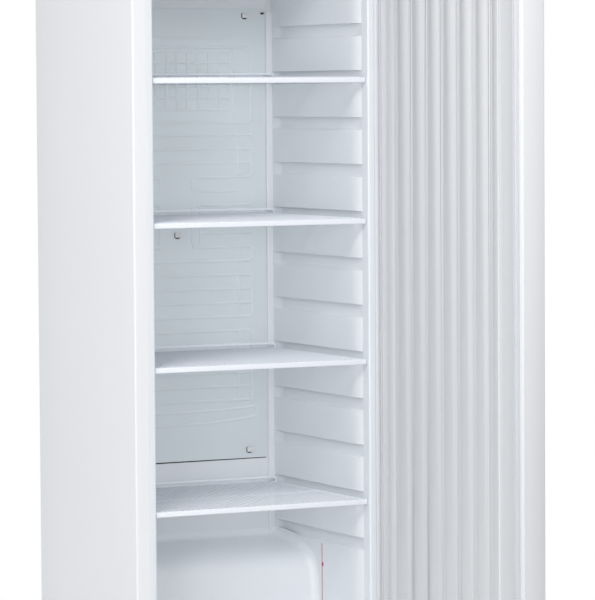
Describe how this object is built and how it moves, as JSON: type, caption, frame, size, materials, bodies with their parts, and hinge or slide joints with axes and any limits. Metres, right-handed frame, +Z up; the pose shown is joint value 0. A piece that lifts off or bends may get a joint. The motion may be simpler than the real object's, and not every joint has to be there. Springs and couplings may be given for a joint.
{
  "type": "upright freezer",
  "caption": "Tall white storage freezer with one insulated ribbed door, lined interior with moulded shelf grooves, sliding wire shelves, rear cold plate and compressor at the base.",
  "frame": {"origin": "on the floor, at the centre of the four feet, which is the middle of the cabinet's width and depth", "axes": "+X to the right of someone facing the door side, +Y to the back, +Z up"},
  "size_m": [0.6298, 1.1362, 1.85],
  "materials": {
    "white_steel": "white enamel, satin gloss",
    "zinc_steel": "zinc coated sheet",
    "liner_plastic": "vacuum formed white liner, soft sheen",
    "foam": "rigid closed-cell foam",
    "cold_plate": "white coated roll-bonded sheet",
    "white_plastic": "fine satin",
    "grey_plastic": "fine satin",
    "black_plastic": "fine satin",
    "gasket": "soft matt",
    "rubber": "matt",
    "pin_steel": "plated",
    "shelf_wire": "white plastic coated wire",
    "black_steel": "black enamel, satin",
    "copper": "bare copper tube",
    "window": "smoked",
    "board": "lacquered board"
  },
  "bodies": {
    "cabinet": {"side_panel_left": "white_steel", "side_panel_right": "white_steel", "top_panel": "white_steel", "back_panel": "zinc_steel", "base_tray": "white_steel", "machine_bay_panel": "zinc_steel", "liner_left_wall": "liner_plastic", "liner_right_wall": "liner_plastic", "liner_back_wall": "liner_plastic", "liner_ceiling": "liner_plastic", "liner_floor": "liner_plastic", "body_foam": "foam", "evaporator_plate": "cold_plate", "evaporator_clips": "white_plastic", "temperature_probe": "black_plastic", "hinge_bracket_bottom": "zinc_steel", "hinge_bracket_top": "zinc_steel", "hinge_pins": "pin_steel", "hinge_screws": "pin_steel", "lock_keeper": "zinc_steel", "control_fascia": "white_plastic", "display_window": "window", "control_board": "board", "plinth_grille": "white_plastic", "compressor": "black_steel", "compressor_mounts": "rubber", "relay_box": "grey_plastic", "filter_drier": "copper", "condenser_coil": "black_steel", "discharge_pipe": "copper", "condenser_wires": "black_steel", "condenser_brackets": "black_steel", "suction_pipe": "copper", "mains_inlet": "grey_plastic"},
    "door": {"door_skin": "white_steel", "door_liner": "liner_plastic", "door_foam": "foam", "door_gasket": "gasket", "door_cap_top": "white_plastic", "door_cap_bottom": "white_plastic", "handle_cup": "white_plastic", "hinge_bushes": "grey_plastic", "lock_housing": "pin_steel"},
    "door_lock": {"lock_barrel": "pin_steel", "lock_cam": "pin_steel"},
    "shelf_1": {"shelf_1": "shelf_wire"},
    "shelf_2": {"shelf_2": "shelf_wire"},
    "shelf_3": {"shelf_3": "shelf_wire"},
    "shelf_4": {"shelf_4": "shelf_wire"},
    "foot_front_left": {"foot_front_left": "black_plastic"},
    "foot_front_right": {"foot_front_right": "black_plastic"},
    "foot_rear_left": {"foot_rear_left": "black_plastic"},
    "foot_rear_right": {"foot_rear_right": "black_plastic"},
    "button_set": {"button_set": "grey_plastic"},
    "button_down": {"button_down": "grey_plastic"},
    "button_up": {"button_up": "grey_plastic"},
    "button_defrost": {"button_defrost": "grey_plastic"},
    "power_rocker": {"power_rocker": "black_plastic"}
  },
  "joints": [
    {"name": "door_hinge", "type": "hinge", "parent": "cabinet", "child": "door", "pos_m": [0.288, -0.275, 0.9], "axis": [0, 0, 1], "range_deg": [-90, 25]},
    {"name": "lock_turn", "type": "hinge", "parent": "door", "child": "door_lock", "pos_m": [0.278, -0.833, 0.076], "axis": [-1, 0, 0], "range_deg": [0, 90]},
    {"name": "shelf_1_slide", "type": "slide", "parent": "cabinet", "child": "shelf_1", "axis": [0, -1, 0], "range_m": [0, 0.3]},
    {"name": "shelf_2_slide", "type": "slide", "parent": "cabinet", "child": "shelf_2", "axis": [0, -1, 0], "range_m": [0, 0.3]},
    {"name": "shelf_3_slide", "type": "slide", "parent": "cabinet", "child": "shelf_3", "axis": [0, -1, 0], "range_m": [0, 0.3]},
    {"name": "shelf_4_slide", "type": "slide", "parent": "cabinet", "child": "shelf_4", "axis": [0, -1, 0], "range_m": [0, 0.3]},
    {"name": "foot_front_left_screw", "type": "slide", "parent": "cabinet", "child": "foot_front_left", "axis": [0, 0, -1], "range_m": [0, 0.015]},
    {"name": "foot_front_right_screw", "type": "slide", "parent": "cabinet", "child": "foot_front_right", "axis": [0, 0, -1], "range_m": [0, 0.015]},
    {"name": "foot_rear_left_screw", "type": "slide", "parent": "cabinet", "child": "foot_rear_left", "axis": [0, 0, -1], "range_m": [0, 0.015]},
    {"name": "foot_rear_right_screw", "type": "slide", "parent": "cabinet", "child": "foot_rear_right", "axis": [0, 0, -1], "range_m": [0, 0.015]},
    {"name": "button_set_press", "type": "slide", "parent": "cabinet", "child": "button_set", "axis": [0, 1, 0], "range_m": [0, 0.0015], "stiffness_N_per_m": 500, "springref_m": -0.0005},
    {"name": "button_down_press", "type": "slide", "parent": "cabinet", "child": "button_down", "axis": [0, 1, 0], "range_m": [0, 0.0015], "stiffness_N_per_m": 500, "springref_m": -0.0005},
    {"name": "button_up_press", "type": "slide", "parent": "cabinet", "child": "button_up", "axis": [0, 1, 0], "range_m": [0, 0.0015], "stiffness_N_per_m": 500, "springref_m": -0.0005},
    {"name": "button_defrost_press", "type": "slide", "parent": "cabinet", "child": "button_defrost", "axis": [0, 1, 0], "range_m": [0, 0.0015], "stiffness_N_per_m": 500, "springref_m": -0.0005},
    {"name": "power_rocker_tilt", "type": "hinge", "parent": "cabinet", "child": "power_rocker", "pos_m": [-0.08, -0.31, 1.813], "axis": [1, 0, 0], "range_deg": [0, 16]}
  ]
}
